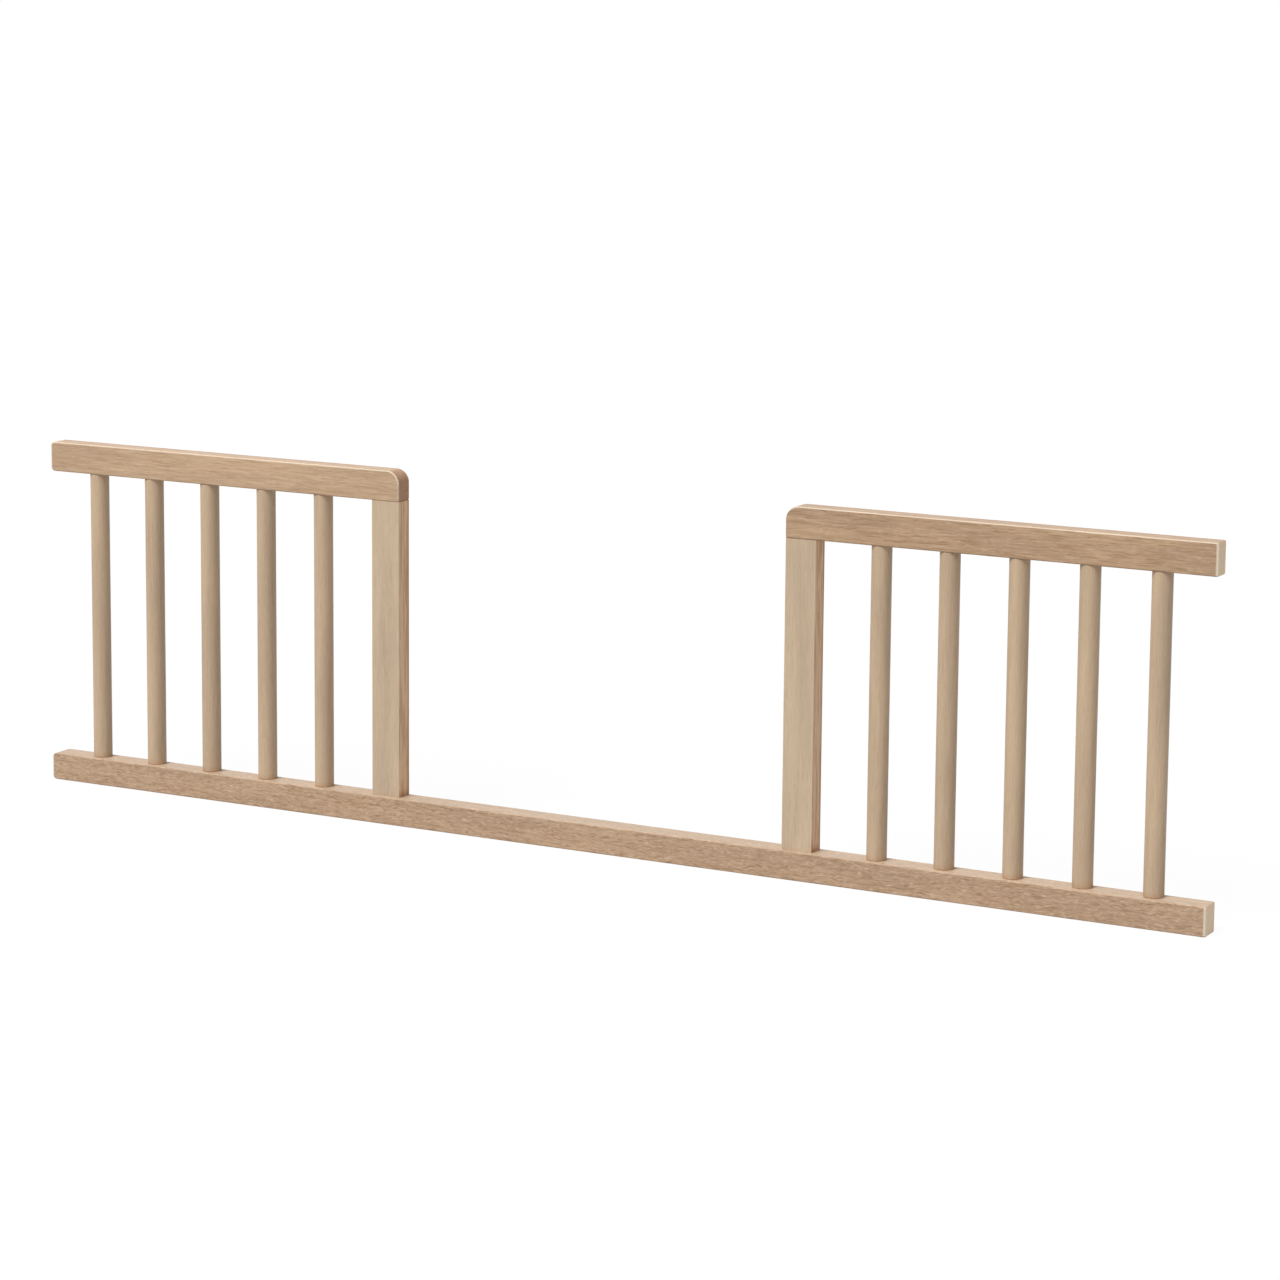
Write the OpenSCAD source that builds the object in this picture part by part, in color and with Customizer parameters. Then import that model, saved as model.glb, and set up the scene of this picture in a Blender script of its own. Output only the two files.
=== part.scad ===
// Guard rail for a cot bed, with a central entry gap. All sizes are in millimetres.
// The origin is the centre of the underside: +X runs along the rail, +Y points to the bed, +Z is up.
// It is glued up from solid beech: one long bottom rail, and on each side of the gap a short top rail,
// a flat post and five turned spindles. The backs of all the rails and posts lie in one plane.

/* [Overall size] */
// Length over both ends
length = 1410; // [1250:5:1700]
// Height from the underside to the top of the top rails
height = 396; // [300:1:600]
// Clear width of the entry gap between the two posts
entry_gap = 470; // [380:5:560]

/* [Rails] */
// Height of the bottom rail
bottom_rail_height = 31; // [28:0.5:60]
// Thickness of the bottom rail, front to back
bottom_rail_thickness = 28; // [24:0.5:45]
// Height of the top rails
top_rail_height = 34; // [30:0.5:60]
// Thickness of the top rails and the posts, front to back
top_rail_thickness = 23; // [21:0.5:40]
// Corner radius on the left-hand outer ends, seen from the front
left_end_radius = 6; // [2:0.5:12]
// Corner radius on the right-hand outer ends, seen from the front
right_end_radius = 1.5; // [1:0.5:12]
// Radius of the large corner above each post
inner_corner_radius = 15; // [4:0.5:26]
// Rounding of the upright arrises at the outer ends
end_arris_radius = 3; // [1:0.5:6]
// Rounding of all the other arrises
arris_radius = 1.5; // [0.5:0.1:3]

/* [Posts] */
// Width of a post, along the rail
post_width = 35; // [30:0.5:70]
// Diameter of a dowel pin
dowel_diameter = 8; // [6:0.5:10]
// Length of a dowel pin
dowel_length = 30; // [16:1:40]
// Distance between the two dowel pins of a joint
dowel_spacing = 16; // [12:0.5:18]
// Chamfer on the ends of a dowel pin
dowel_chamfer = 1; // [0.5:0.1:1.5]
// Width of the glue flutes along a dowel pin
dowel_flute_width = 0.8; // [0.4:0.1:1]

/* [Spindles] */
// Diameter of a spindle
spindle_diameter = 21.5; // [16:0.5:22]
// Centre of the first spindle, from the outer end
end_margin = 61; // [40:0.5:70]
// Clear gap between the last spindle and the post
post_gap = 59; // [45:0.5:65]
// Diameter of the turned tenons
tenon_diameter = 14; // [8:0.5:15]
// Length of a tenon
tenon_length = 14; // [8:0.5:20]
// Chamfer on the tip of a tenon
tenon_chamfer = 1; // [0.5:0.1:2]

/* [Bed fixings] */
// Outside diameter of a threaded insert
insert_diameter = 10; // [9:0.5:12]
// Length of a threaded insert
insert_length = 13; // [10:0.5:18]
// Core diameter of the M6 thread
thread_core_diameter = 5; // [4:0.1:6]
// Width across the flats of the driving socket
socket_flats = 6; // [5.5:0.1:7]
// Depth of the driving socket
socket_depth = 4; // [2:0.5:6]
// Distance of an insert from the outer end
insert_margin = 22; // [15:0.5:30]
// Depth of the grooves between the outer threads
insert_groove_depth = 0.7; // [0.3:0.1:1]
// Pitch of the outer threads
insert_pitch = 2.5; // [2:0.1:4]

/* [Fits] */
// Radial clearance of a tenon, pin or insert in its hole
fit_clearance = 0.1; // [0.05:0.01:0.2]
// Space for glue at the bottom of a blind hole
glue_space = 1; // [0.5:0.1:2]

/* [Hidden] */

$fn = 64;
LEFT = -1;
RIGHT = 1;
SIDES = [LEFT, RIGHT];
spindles_per_side = 5;
flutes_per_pin = 10;

// Planes that the pieces share
outer_x = length / 2;
inner_x = entry_gap / 2;
back_y = bottom_rail_thickness / 2;
frame_y = back_y - top_rail_thickness / 2;
under_top_rail = height - top_rail_height;

// Spacing of the spindles, from the outer end to the post
last_spindle = outer_x - inner_x - post_width - post_gap - spindle_diameter / 2;
spindle_pitch = (last_spindle - end_margin) / (spindles_per_side - 1);

// Holes that the tenons, pins and inserts sit in
tenon_hole_depth = tenon_length + glue_space;
dowel_hole_depth = dowel_length / 2 + glue_space;
insert_hole_depth = insert_length + glue_space;

beech = [0.80, 0.67, 0.53];
turned_beech = [0.78, 0.65, 0.52];
end_grain_beech = [0.72, 0.58, 0.44];
zinc = [0.74, 0.75, 0.77];

// Distance of spindle i (1 to 5) from the middle of the rail, counted from the outer end
function spindle_x(i) = outer_x - end_margin - (i - 1) * spindle_pitch;

// Distance of the middle of a post from the middle of the rail
function post_x() = inner_x + post_width / 2;

// What is cut from one corner of a flat outline to leave a round corner of radius r
module corner_cut(r) {
    difference() {
        translate([-1, -1]) square(r + 1);
        translate([r, r]) circle(r);
    }
}

// Rectangle from the origin to (w, h); radii run from the lower left corner anticlockwise
module rounded_rectangle(w, h, radii) {
    difference() {
        square([w, h]);
        corner_cut(radii[0]);
        translate([w, 0]) mirror([1, 0]) corner_cut(radii[1]);
        translate([w, h]) rotate(180) corner_cut(radii[2]);
        translate([0, h]) mirror([0, 1]) corner_cut(radii[3]);
    }
}

// Straight rail with eased arrises: front_radii shape its front outline, and arrises = [left, right]
// round the upright arrises of its two ends
module rail(x_start, x_end, y_centre, thickness, z_start, rail_height, front_radii, arrises) {
    rail_length = x_end - x_start;
    front_y = y_centre - thickness / 2;
    intersection() {
        translate([x_start, front_y + thickness, z_start])
            rotate([90, 0, 0])
            linear_extrude(thickness)
            rounded_rectangle(rail_length, rail_height, front_radii);
        translate([x_start, front_y, z_start])
            rotate([90, 0, 90])
            linear_extrude(rail_length)
            rounded_rectangle(thickness, rail_height, [arris_radius, arris_radius, arris_radius, arris_radius]);
        translate([x_start, front_y, z_start])
            linear_extrude(rail_height)
            rounded_rectangle(rail_length, thickness, [arrises[0], arrises[1], arrises[1], arrises[0]]);
    }
}

// Round hole with its mouth on the plane z; direction is 1 to go up from there and -1 to go down
module upright_hole(x, z, direction, diameter, depth) {
    translate([x, frame_y, z])
        mirror([0, 0, direction < 0 ? 1 : 0])
        translate([0, 0, -1])
        cylinder(d = diameter, h = depth + 1);
}

// Holes for the tenons of the five spindles on one side
module tenon_holes(side, z, direction) {
    for (i = [1:spindles_per_side])
        upright_hole(side * spindle_x(i), z, direction, tenon_diameter + 2 * fit_clearance, tenon_hole_depth);
}

// Holes for the two dowel pins of one post joint
module dowel_holes(side, z, direction) {
    for (offset = [-dowel_spacing / 2, dowel_spacing / 2])
        upright_hole(side * post_x() + offset, z, direction, dowel_diameter + 2 * fit_clearance, dowel_hole_depth);
}

// Hole for a threaded insert, bored from the back face
module insert_hole(side, z) {
    translate([side * (outer_x - insert_margin), back_y + 1, z])
        rotate([90, 0, 0])
        cylinder(d = insert_diameter + 2 * fit_clearance, h = insert_hole_depth + 1);
}

module bottom_rail() {
    color(beech)
    difference() {
        rail(-outer_x, outer_x, 0, bottom_rail_thickness, 0, bottom_rail_height,
             [left_end_radius, right_end_radius, right_end_radius, left_end_radius],
             [end_arris_radius, end_arris_radius]);
        for (side = SIDES) {
            tenon_holes(side, bottom_rail_height, -1);
            dowel_holes(side, bottom_rail_height, -1);
            insert_hole(side, bottom_rail_height / 2);
        }
    }
}

// The inner end stands over the post: a large round corner above, a square one where it meets the post
module top_rail_blank(side) {
    if (side == LEFT)
        rail(-outer_x, -inner_x, frame_y, top_rail_thickness, under_top_rail, top_rail_height,
             [left_end_radius, arris_radius, inner_corner_radius, left_end_radius],
             [end_arris_radius, arris_radius]);
    else
        rail(inner_x, outer_x, frame_y, top_rail_thickness, under_top_rail, top_rail_height,
             [arris_radius, right_end_radius, right_end_radius, inner_corner_radius],
             [arris_radius, end_arris_radius]);
}

module top_rail(side) {
    color(beech)
    difference() {
        top_rail_blank(side);
        tenon_holes(side, under_top_rail, 1);
        dowel_holes(side, under_top_rail, 1);
        insert_hole(side, height - top_rail_height / 2);
    }
}

module post(side) {
    color(turned_beech)
    difference() {
        translate([side * post_x() - post_width / 2, frame_y - top_rail_thickness / 2, bottom_rail_height])
            linear_extrude(under_top_rail - bottom_rail_height)
            rounded_rectangle(post_width, top_rail_thickness,
                              [arris_radius, arris_radius, arris_radius, arris_radius]);
        dowel_holes(side, bottom_rail_height, 1);
        dowel_holes(side, under_top_rail, -1);
    }
}

// Round bar between the rails, with a turned and chamfered tenon at each end
module spindle(side, i) {
    body_length = under_top_rail - bottom_rail_height;
    color(turned_beech)
    translate([side * spindle_x(i), frame_y, bottom_rail_height + body_length / 2]) {
        cylinder(d = spindle_diameter, h = body_length, center = true);
        for (turn = [0, 180])
            rotate([turn, 0, 0])
            translate([0, 0, body_length / 2])
            tenon();
    }
}

module tenon() {
    straight = tenon_length - tenon_chamfer;
    rotate_extrude()
        polygon([
            [0, -1], [tenon_diameter / 2, -1], [tenon_diameter / 2, straight],
            [tenon_diameter / 2 - tenon_chamfer, tenon_length], [0, tenon_length]
        ]);
}

// Two fluted beech pins across a post joint whose faces meet at height z
module dowel_pins(side, z) {
    color(end_grain_beech)
    for (offset = [-dowel_spacing / 2, dowel_spacing / 2])
        translate([side * post_x() + offset, frame_y, z])
        dowel_pin();
}

module dowel_pin() {
    radius = dowel_diameter / 2;
    half = dowel_length / 2;
    difference() {
        rotate_extrude()
            polygon([
                [0, -half], [radius - dowel_chamfer, -half], [radius, dowel_chamfer - half],
                [radius, half - dowel_chamfer], [radius - dowel_chamfer, half], [0, half]
            ]);
        for (i = [0:flutes_per_pin - 1])
            rotate(i * 360 / flutes_per_pin)
            translate([radius, 0, 0])
            cylinder(d = dowel_flute_width, h = dowel_length + 2, center = true);
    }
}

// Steel insert with ring-shaped outer threads, a six-sided driving socket and an M6 core bore
module insert(side, z) {
    color(zinc)
    translate([side * (outer_x - insert_margin), back_y, z])
        rotate([90, 0, 0])
        difference() {
            insert_body();
            translate([0, 0, -1]) cylinder(d = thread_core_diameter, h = insert_length + 2);
            translate([0, 0, -1]) cylinder(d = socket_flats / cos(30), h = socket_depth + 1, $fn = 6);
        }
}

// Solid of revolution from the mouth at z = 0 inwards, with one sloping ridge for each turn of thread
module insert_body() {
    radius = insert_diameter / 2;
    root = radius - insert_groove_depth;
    turns = floor((insert_length - insert_pitch) / insert_pitch);
    rotate_extrude()
        polygon(concat(
            [[0, 0], [radius, 0]],
            [for (i = [1:turns]) each [
                [radius, (i - 0.45) * insert_pitch],
                [root, i * insert_pitch],
                [radius, (i + 0.25) * insert_pitch]
            ]],
            [[radius, insert_length - insert_groove_depth], [root, insert_length], [0, insert_length]]
        ));
}

bottom_rail();
top_rail(LEFT);  // left_top_rail
top_rail(RIGHT);  // right_top_rail
post(LEFT);  // left_post
post(RIGHT);  // right_post
spindle(LEFT, 1);  // left_spindle_1
spindle(LEFT, 2);  // left_spindle_2
spindle(LEFT, 3);  // left_spindle_3
spindle(LEFT, 4);  // left_spindle_4
spindle(LEFT, 5);  // left_spindle_5
spindle(RIGHT, 1);  // right_spindle_1
spindle(RIGHT, 2);  // right_spindle_2
spindle(RIGHT, 3);  // right_spindle_3
spindle(RIGHT, 4);  // right_spindle_4
spindle(RIGHT, 5);  // right_spindle_5
dowel_pins(LEFT, under_top_rail);  // left_top_dowel_pins
dowel_pins(LEFT, bottom_rail_height);  // left_bottom_dowel_pins
dowel_pins(RIGHT, under_top_rail);  // right_top_dowel_pins
dowel_pins(RIGHT, bottom_rail_height);  // right_bottom_dowel_pins
insert(LEFT, height - top_rail_height / 2);  // left_top_insert
insert(LEFT, bottom_rail_height / 2);  // left_bottom_insert
insert(RIGHT, height - top_rail_height / 2);  // right_top_insert
insert(RIGHT, bottom_rail_height / 2);  // right_bottom_insert
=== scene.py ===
import math

import bpy
import numpy as np
from bpy.props import FloatProperty, FloatVectorProperty, IntProperty, PointerProperty
from mathutils import Matrix, Vector


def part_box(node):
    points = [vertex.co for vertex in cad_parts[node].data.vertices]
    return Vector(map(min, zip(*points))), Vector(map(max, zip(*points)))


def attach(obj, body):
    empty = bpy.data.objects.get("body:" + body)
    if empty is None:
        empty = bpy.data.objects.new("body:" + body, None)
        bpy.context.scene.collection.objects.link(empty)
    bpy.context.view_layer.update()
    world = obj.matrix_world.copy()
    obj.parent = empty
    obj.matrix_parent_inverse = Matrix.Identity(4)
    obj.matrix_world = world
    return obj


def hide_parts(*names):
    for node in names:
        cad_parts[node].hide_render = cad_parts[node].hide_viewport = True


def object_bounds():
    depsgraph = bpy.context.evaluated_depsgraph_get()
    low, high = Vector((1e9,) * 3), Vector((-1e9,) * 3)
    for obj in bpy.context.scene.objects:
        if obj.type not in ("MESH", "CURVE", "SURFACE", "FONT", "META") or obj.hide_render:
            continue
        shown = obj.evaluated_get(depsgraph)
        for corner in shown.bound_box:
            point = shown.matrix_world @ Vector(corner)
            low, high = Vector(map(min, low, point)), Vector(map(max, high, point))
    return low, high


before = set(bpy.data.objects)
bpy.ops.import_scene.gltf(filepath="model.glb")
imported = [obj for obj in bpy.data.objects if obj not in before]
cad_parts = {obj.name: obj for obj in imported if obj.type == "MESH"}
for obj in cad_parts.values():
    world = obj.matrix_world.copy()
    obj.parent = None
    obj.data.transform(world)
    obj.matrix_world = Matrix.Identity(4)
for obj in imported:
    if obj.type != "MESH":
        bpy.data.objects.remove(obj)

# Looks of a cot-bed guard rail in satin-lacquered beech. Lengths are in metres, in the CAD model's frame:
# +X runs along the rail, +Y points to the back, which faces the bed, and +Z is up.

bl_info = {
    "name": "Cot-bed guard rail",
    "version": (1, 0, 0),
    "blender": (4, 5, 0),
    "location": "3D View > Sidebar > Guard rail",
    "description": "Builds the beech rails, posts, spindles and fixings of a cot-bed guard rail",
    "category": "Add Mesh",
}

CAD_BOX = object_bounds()
SIDES = ("left", "right")
SIDE_SIGN = {"left": -1.0, "right": 1.0}
SPINDLES_PER_SIDE = 5
RIGHT_ANGLE = math.pi / 2


def colour_property(name, description, default):
    return FloatVectorProperty(
        name=name, description=description, default=default, subtype="COLOR", size=3, min=0.0, max=1.0
    )


def length_property(name, description, default):
    return FloatProperty(
        name=name, description=description, default=default, min=0.0, precision=5, subtype="DISTANCE", unit="LENGTH"
    )


# Settings


class GuardRailShape(bpy.types.PropertyGroup):
    """Sizes that the CAD boxes don't give"""

    arris_radius: length_property("Arris radius", "Rounding of the long arrises", 0.0015)
    end_arris_radius: length_property("End arris radius", "Rounding of the upright arrises at the outer ends", 0.003)
    left_end_radius: length_property("Left end radius", "Corner radius of the left-hand outer ends", 0.006)
    right_end_radius: length_property("Right end radius", "Corner radius of the right-hand outer ends", 0.0015)
    inner_corner_radius: length_property("Inner corner radius", "Large round corner above each post", 0.015)
    planing_wave: length_property("Planing wave", "Depth of the waves that planing and sanding leave", 0.00006)
    shoulder_radius: length_property("Shoulder radius", "Rounding of a spindle at its two shoulders", 0.0006)
    tenon_diameter: length_property("Tenon diameter", "Diameter of a spindle's turned tenons", 0.014)
    tenon_chamfer: length_property("Tenon chamfer", "Chamfer on the tip of a tenon", 0.001)
    dowel_diameter: length_property("Dowel diameter", "Diameter of a dowel pin", 0.008)
    dowel_spacing: length_property("Dowel spacing", "Distance between the two dowel pins of a joint", 0.016)
    fit_clearance: length_property("Fit clearance", "Radial clearance of a tenon, pin or insert", 0.0001)
    glue_space: length_property("Glue space", "Space for glue at the bottom of a blind hole", 0.001)


class GuardRailWood(bpy.types.PropertyGroup):
    """Colours and figure of the beech, with the colours of its painted highlights, painted light and painted shade"""

    bottom_rail_colour: colour_property("Bottom rail colour", "Ground colour of the bottom rail", (0.455, 0.310, 0.200))
    left_rail_colour: colour_property("Left rail colour", "Ground colour of the left top rail", (0.530, 0.365, 0.232))
    right_rail_colour: colour_property("Right rail colour", "Ground colour of the right top rail", (0.450, 0.300, 0.185))
    post_colour: colour_property("Post colour", "Ground colour of the posts", (0.530, 0.405, 0.280))
    spindle_colour: colour_property("Spindle colour", "Ground colour of the spindles", (0.530, 0.390, 0.260))
    fleck_colour: colour_property("Fleck colour", "Short dark flecks where the rays end", (0.250, 0.140, 0.080))
    silver_colour: colour_property("Silver colour", "Pale flecks where the rays lie in the face", (0.70, 0.53, 0.38))
    # Painted highlight: this pale colour is laid on the arrises and tops where light catches them
    arris_highlight_colour: colour_property("Arris colour", "Sanded arrises, which look paler", (0.86, 0.72, 0.56))
    side_colour: colour_property("Side colour", "Tangential narrow sides of the posts", (0.86, 0.56, 0.32))
    # Painted shade: this brown darkens the inner ends, the lower front arrises, the back edges and the feet of posts
    # and spindles; it also colours the brown streaks on the posts' narrow sides
    shade_and_streak_colour: colour_property("Burnish colour", "Brown that sawing and sanding leave", (0.40, 0.18, 0.085))
    # Painted light: this pale colour makes the outer end faces look lit; the rings drawn over it are the end grain's
    # own
    end_light_colour: colour_property("End colour", "Fine-sanded end grain at the outer ends", (0.95, 0.715, 0.465))
    ring_spacing: length_property("Ring spacing", "Distance between two growth rings", 0.0034)
    gloss: FloatProperty(name="Gloss", description="Strength of the lacquer's reflections", default=0.36, min=0, max=1)
    roughness: FloatProperty(name="Roughness", description="Roughness of the satin lacquer", default=0.46, min=0, max=1)


class GuardRailStage(bpy.types.PropertyGroup):
    """Camera, lamps and floor"""

    camera_place: FloatVectorProperty(
        name="Camera place", description="Where the camera stands", default=(1.8938, -3.4627, 0.9811),
        size=3, subtype="XYZ", unit="LENGTH",
    )
    camera_turn: FloatProperty(
        name="Camera turn", description="Turn to the left of straight ahead", default=0.4872, subtype="ANGLE"
    )
    camera_tilt: FloatProperty(
        name="Camera tilt", description="Tilt below the horizon", default=0.1469, subtype="ANGLE"
    )
    camera_roll: FloatProperty(
        name="Camera roll", description="Roll about the line of sight", default=0.0085, subtype="ANGLE"
    )
    focal_length: FloatProperty(name="Focal length", description="Lens, in millimetres", default=105.22, min=10)
    shift_y: FloatProperty(name="Vertical shift", description="Shift of the lens, as a share of the frame", default=-0.12)
    key_strength: FloatProperty(name="Key strength", description="Sun lamp above the front left", default=2.96, min=0)
    key_azimuth: FloatProperty(
        name="Key azimuth", description="Turn of the key lamp to the left of the front",
        default=math.radians(17), subtype="ANGLE",
    )
    key_elevation: FloatProperty(
        name="Key elevation", description="Height of the key lamp above the horizon",
        default=math.radians(56), subtype="ANGLE",
    )
    sky_strength: FloatProperty(name="Sky strength", description="Even light from all round", default=0.37, min=0)
    floor_size: length_property("Floor size", "Side of the square floor", 24.0)
    floor_lift: FloatProperty(
        name="Floor lift", description="Share of the floor's look that is plain white", default=0.90, min=0, max=1
    )
    floor_steps: IntProperty(name="Floor steps", description="Squares along one side of the floor", default=24, min=1)


# Surfaces


def capped_tube(rings):
    """Closed surface through rings, an array of (rings, points, 3) whose points turn right-handed about the
    direction of travel. Neighbouring rings are joined by quads, and each end by a fan to the ring's mean."""
    count, points = rings.shape[:2]
    vertices = np.concatenate([rings.reshape(-1, 3), rings[0].mean(0)[None], rings[-1].mean(0)[None]])
    ring, point = np.meshgrid(np.arange(count - 1), np.arange(points), indexing="ij")
    ahead = (point + 1) % points
    quads = np.stack(
        [ring * points + point, ring * points + ahead, (ring + 1) * points + ahead, (ring + 1) * points + point], -1
    ).reshape(-1, 4)
    around = np.arange(points)
    beyond = (around + 1) % points
    last = (count - 1) * points
    first_fan = np.stack([np.full(points, count * points), beyond, around], -1)
    last_fan = np.stack([np.full(points, count * points + 1), last + around, last + beyond], -1)
    return vertices, [quads, first_fan, last_fan]


def joined(parts):
    """Several (vertices, face arrays) as one."""
    vertices, faces, start = [], [], 0
    for part_vertices, part_faces in parts:
        vertices.append(part_vertices)
        faces += [f + start for f in part_faces]
        start += len(part_vertices)
    return np.concatenate(vertices), faces


def make_mesh(name, vertices, faces):
    """Mesh of the vertices and of face arrays with three or four corners a face, set as whole arrays."""
    mesh = bpy.data.meshes.new(name)
    corners = np.concatenate([f.ravel() for f in faces]).astype(np.int32)
    totals = np.concatenate([np.full(len(f), f.shape[1]) for f in faces]).astype(np.int32)
    starts = np.concatenate([[0], np.cumsum(totals)[:-1]]).astype(np.int32)
    mesh.vertices.add(len(vertices))
    mesh.vertices.foreach_set("co", np.asarray(vertices, np.float32).ravel())
    mesh.loops.add(len(corners))
    mesh.loops.foreach_set("vertex_index", corners)
    mesh.polygons.add(len(totals))
    mesh.polygons.foreach_set("loop_start", starts)
    mesh.update(calc_edges=True)
    mesh.validate()
    return mesh


def mesh_points(mesh):
    co = np.empty(len(mesh.vertices) * 3, np.float32)
    mesh.vertices.foreach_get("co", co)
    return co.reshape(-1, 3).astype(float)


def turned(profile, centre, steps):
    """Surface of revolution about the upright line through centre: profile is (points, 2) of radius and height,
    and each point becomes a circle of that radius at that height."""
    angle = np.linspace(0, 2 * math.pi, steps, endpoint=False)
    radius, height = profile[:, 0], profile[:, 1]
    rings = np.stack(
        [
            centre[0] + radius[:, None] * np.cos(angle),
            centre[1] + radius[:, None] * np.sin(angle),
            np.repeat((centre[2] + height)[:, None], steps, 1),
        ],
        -1,
    )
    return capped_tube(rings)


def quarter_round(radius, steps):
    """Distances from an end at which a quarter round of that radius is sampled at equal angles, and how far the
    outline has drawn in there: at distance d it is radius - sqrt(radius^2 - (radius - d)^2)."""
    angle = np.linspace(0, RIGHT_ANGLE, steps + 1)
    return radius * (1 - np.cos(angle))


def drawn_in(distance, radius):
    """How far a quarter round has drawn the outline in at a distance from the end."""
    left = np.clip(radius - distance, 0, radius)
    return radius - np.sqrt(np.maximum(radius**2 - left**2, 0))


def section_ring(arc_steps, flat_places):
    """Points round a rounded rectangle, right-handed: each lies at weight * (half size - radius) + radius * lean
    on either axis. Four quarter arcs, with extra points on the flats between them at flat_places."""
    weight, lean = [], []
    signs = [(1, 1), (-1, 1), (-1, -1), (1, -1)]
    for k in range(4):
        here, after = np.array(signs[k], float), np.array(signs[(k + 1) % 4], float)
        angle = k * RIGHT_ANGLE + np.linspace(0, RIGHT_ANGLE, arc_steps + 1)
        weight.append(np.repeat(here[None], arc_steps + 1, 0))
        lean.append(np.stack([np.cos(angle), np.sin(angle)], -1))
        flat = np.asarray(flat_places)[:, None]
        weight.append(here * (1 - flat) + after * flat)
        lean.append(np.repeat(lean[-1][-1:], len(flat_places), 0))
    return np.concatenate(weight), np.concatenate(lean)


FLAT_PLACES = [0.025, 0.12, 0.26, 0.42, 0.58, 0.74, 0.88, 0.975]
ARC_STEPS = 6
STATION_SPACING = 0.009


def planing(along, seed, depth):
    """Gentle waves along a planed and sanded board, from 0 to depth: the mean of three sines of unlike lengths."""
    rng = np.random.default_rng(seed)
    lengths = rng.uniform(0.035, 0.16, 3)
    starts = rng.uniform(0, 2 * math.pi, 3)
    waves = np.sin(2 * math.pi * along[..., None] / lengths + starts).mean(-1)
    return depth * (0.5 + 0.5 * waves)


def board(low, high, corner_radii, end_radii, arris, wave, seed):
    """Board from corner low to corner high, lying along its first axis. At each station along it the cross-section
    is a rounded rectangle with radius arris. Near an end it shrinks by the quarter rounds: corner_radii = (start
    low, start high, end low, end high) shape the outline in the third axis, end_radii = (start, end) in the second."""
    length = high[0] - low[0]
    samples = [np.linspace(0, length, int(length / STATION_SPACING))]
    for radius in (corner_radii[0], corner_radii[1], end_radii[0]):
        samples.append(quarter_round(radius, 10))
    for radius in (corner_radii[2], corner_radii[3], end_radii[1]):
        samples.append(length - quarter_round(radius, 10))
    along = np.unique(np.round(np.concatenate(samples), 7))
    keep = np.concatenate([[True], np.diff(along) > 4e-5])
    keep[-1] = True
    along = along[keep]
    from_start, from_end = along, length - along
    low_z = low[2] + drawn_in(from_start, corner_radii[0]) + drawn_in(from_end, corner_radii[2])
    high_z = high[2] - drawn_in(from_start, corner_radii[1]) - drawn_in(from_end, corner_radii[3])
    half_y = (high[1] - low[1]) / 2 - drawn_in(from_start, end_radii[0]) - drawn_in(from_end, end_radii[1])
    half_z, mid_z = (high_z - low_z) / 2, (high_z + low_z) / 2
    weight, lean = section_ring(ARC_STEPS, FLAT_PLACES)
    # Waves are cut into the faces, so they only ever lie inside the board, and they fade out at the ends
    fade = np.clip(np.minimum(from_start, from_end) / 0.03, 0, 1)[:, None]
    face = planing(along[:, None] + 0.3 * weight[:, 1], seed, wave) * fade
    y = (high[1] + low[1]) / 2 + weight[:, 0] * (half_y - arris)[:, None] + (arris - face) * lean[:, 0]
    z = mid_z[:, None] + weight[:, 1] * (half_z - arris)[:, None] + (arris - face) * lean[:, 1]
    x = np.repeat((low[0] + along)[:, None], len(weight), 1)
    rings = np.stack([x, y, z], -1)

    def inner(ring):
        """The end face's own ring, a little inside its rim, which keeps the face flat to its edge."""
        return ring.mean(0) + 0.94 * (ring - ring.mean(0))

    rings = np.concatenate([inner(rings[0])[None], rings, inner(rings[-1])[None]])
    return capped_tube(rings)


def stood_up(vertices):
    """Turns points from (along, across, up) to a piece whose length is upright: (across, up, along)."""
    return vertices[:, [1, 2, 0]]


def hole(mouth, bottom, diameter, steps=48):
    """Closed round cutter from beyond a hole's mouth to its bottom, along any axis."""
    mouth, bottom = np.array(mouth, float), np.array(bottom, float)
    axis = (mouth - bottom) / np.linalg.norm(mouth - bottom)
    start, end = bottom, mouth + 0.002 * axis
    side = np.cross(axis, [0.0, 1.0, 0.0] if abs(axis[1]) < 0.9 else [1.0, 0.0, 0.0])
    side /= np.linalg.norm(side)
    other = np.cross(axis, side)
    angle = np.linspace(0, 2 * math.pi, steps, endpoint=False)[:, None]
    circle = diameter / 2 * (np.cos(angle) * side + np.sin(angle) * other)
    rings = np.stack([start + circle, start + (end - start) * 0.5 + circle, end + circle])
    return capped_tube(rings)


def drilled(name, body, holes):
    """Mesh of body with the holes cut out by an exact boolean."""
    scene = bpy.context.scene
    piece = bpy.data.objects.new(name, make_mesh(name, *body))
    cutter = bpy.data.objects.new(name + "_cutter", make_mesh(name + "_cutter", *joined(holes)))
    for obj in (piece, cutter):
        scene.collection.objects.link(obj)
    cut = piece.modifiers.new("Holes", "BOOLEAN")
    cut.operation = "DIFFERENCE"
    cut.solver = "EXACT"
    cut.object = cutter
    bpy.context.view_layer.update()
    result = bpy.data.meshes.new_from_object(piece.evaluated_get(bpy.context.evaluated_depsgraph_get()))
    for obj in (piece, cutter):
        old = obj.data
        bpy.data.objects.remove(obj)
        bpy.data.meshes.remove(old)
    if len(result.vertices) == 0:
        raise RuntimeError(f"{name}: the boolean left nothing")
    result.name = name
    return result


def add_piece(name, mesh, material, node):
    """The finished mesh as a piece that stands for a CAD node."""
    mesh.shade_smooth()
    mesh.set_sharp_from_angle(angle=math.radians(38))
    mesh.materials.clear()
    mesh.materials.append(material)
    piece = bpy.data.objects.new(name, mesh)
    bpy.context.scene.collection.objects.link(piece)
    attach(piece, "root")
    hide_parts(node)
    return piece


# Where the wood's figure and its tones lie


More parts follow.
